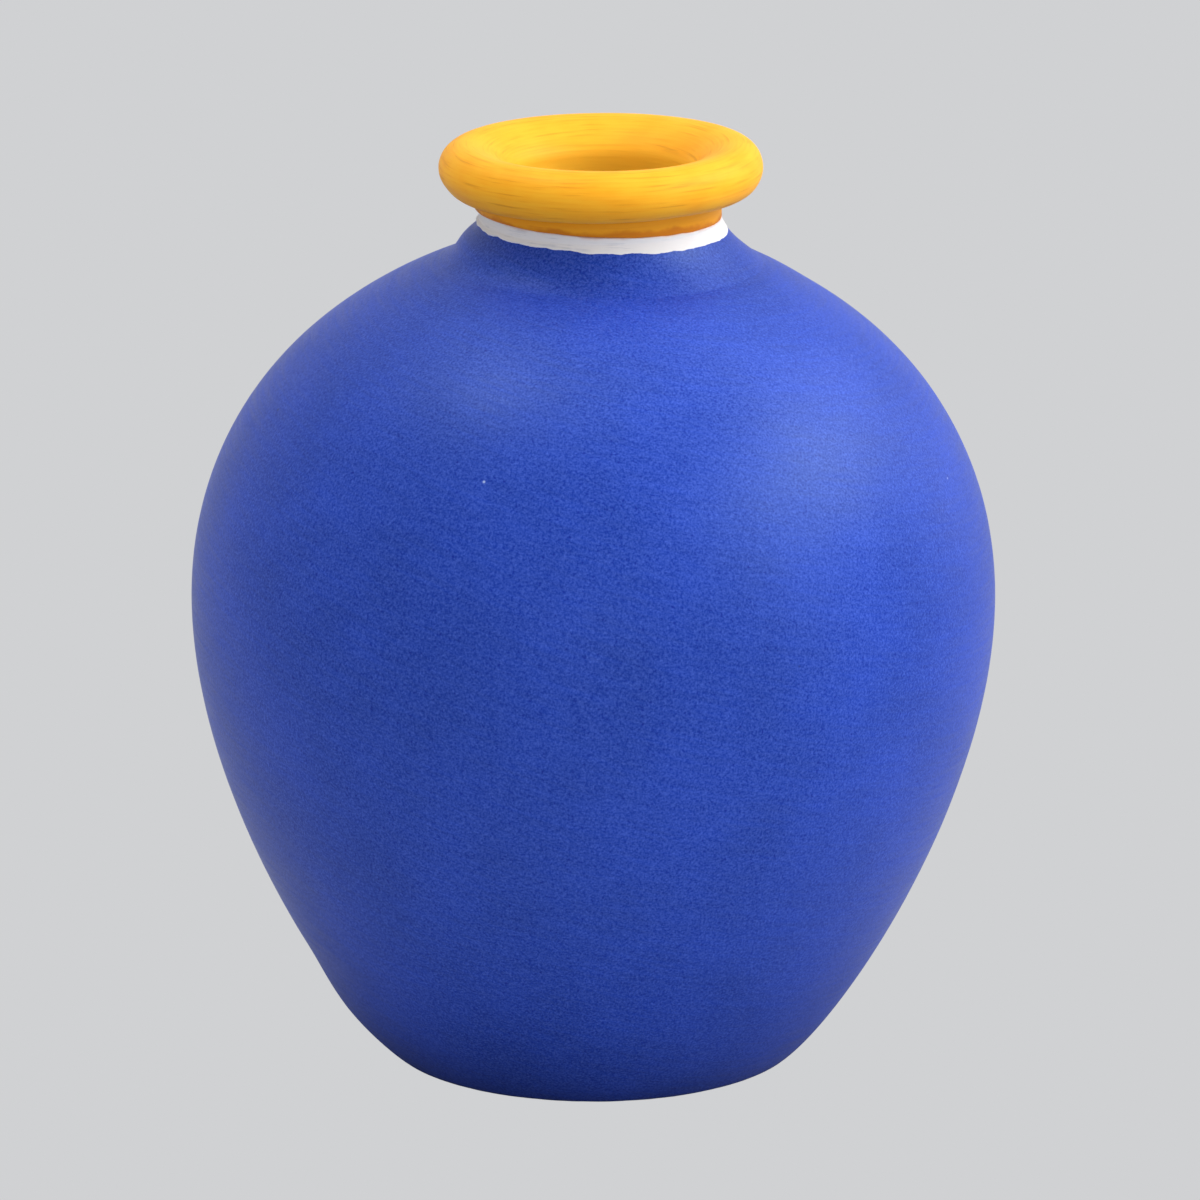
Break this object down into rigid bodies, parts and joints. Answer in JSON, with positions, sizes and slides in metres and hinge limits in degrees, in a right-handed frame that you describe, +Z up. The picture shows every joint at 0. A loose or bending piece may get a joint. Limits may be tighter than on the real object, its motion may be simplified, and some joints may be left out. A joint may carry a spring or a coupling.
{
  "type": "water jar",
  "caption": "Round-bellied earthenware jar on a flat foot, with a short neck, a thick rolled rim and an open mouth; matt painted body, neck band and rim.",
  "frame": {"origin": "on the floor, under the centre of the round body", "axes": "+Z up the jar's height; +X towards the side to which the neck stands 2.4 mm off the body's axis; -Y is the side that faces the viewer"},
  "size_m": [0.259, 0.259, 0.3],
  "materials": {
    "fired_clay": "unglazed, low fired",
    "blue_paint": "chalky matt paint",
    "white_paint": "matt, brushed on thick",
    "yellow_paint": "matt, brushed round the rim"
  },
  "bodies": {
    "root": {"base_disc": "fired_clay", "lower_wall": "fired_clay", "upper_wall": "fired_clay", "neck_collar": "fired_clay", "rim_ring": "fired_clay", "blue_coat": "blue_paint", "white_band": "white_paint", "yellow_coat": "yellow_paint"}
  },
  "joints": []
}
